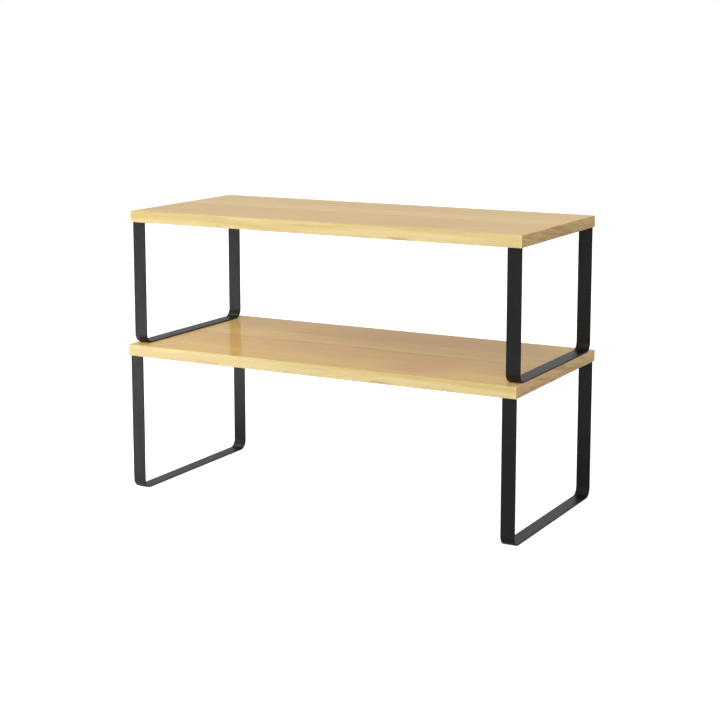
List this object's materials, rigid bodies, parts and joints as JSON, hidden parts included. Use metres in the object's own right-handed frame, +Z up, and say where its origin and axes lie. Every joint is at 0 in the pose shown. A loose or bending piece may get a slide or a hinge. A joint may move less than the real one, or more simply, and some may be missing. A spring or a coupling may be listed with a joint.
{
  "type": "desk hutch",
  "caption": "Desk hutch of stacking shelf risers: a smaller riser stands on a larger one, each a wood-grain board on U-shaped legs of black flat steel strip.",
  "frame": {"origin": "on the desk, under the middle of the stack", "axes": "+X along the boards to the right, +Y to the rear, +Z up"},
  "size_m": [0.45, 0.21, 0.302],
  "materials": {
    "board_face": "pale wood-grain facing, satin",
    "edge_band": "pale wood-grain edge band, satin",
    "leg_steel": "black fine-texture powder coat",
    "screw_steel": "black-plated steel"
  },
  "bodies": {
    "lower_unit": {"lower_board_panel": "board_face", "lower_front_edge_band": "edge_band", "lower_rear_edge_band": "edge_band", "lower_left_edge_band": "edge_band", "lower_right_edge_band": "edge_band", "lower_left_leg_frame": "leg_steel", "lower_right_leg_frame": "leg_steel", "lower_left_leg_screws": "screw_steel", "lower_right_leg_screws": "screw_steel"},
    "upper_unit": {"upper_board_panel": "board_face", "upper_front_edge_band": "edge_band", "upper_rear_edge_band": "edge_band", "upper_left_edge_band": "edge_band", "upper_right_edge_band": "edge_band", "upper_left_leg_frame": "leg_steel", "upper_right_leg_frame": "leg_steel", "upper_left_leg_screws": "screw_steel", "upper_right_leg_screws": "screw_steel"}
  },
  "joints": [
    {"name": "upper_unit_lift", "type": "slide", "parent": "lower_unit", "child": "upper_unit", "axis": [0, 0, 1], "range_m": [0, 0.1]}
  ]
}
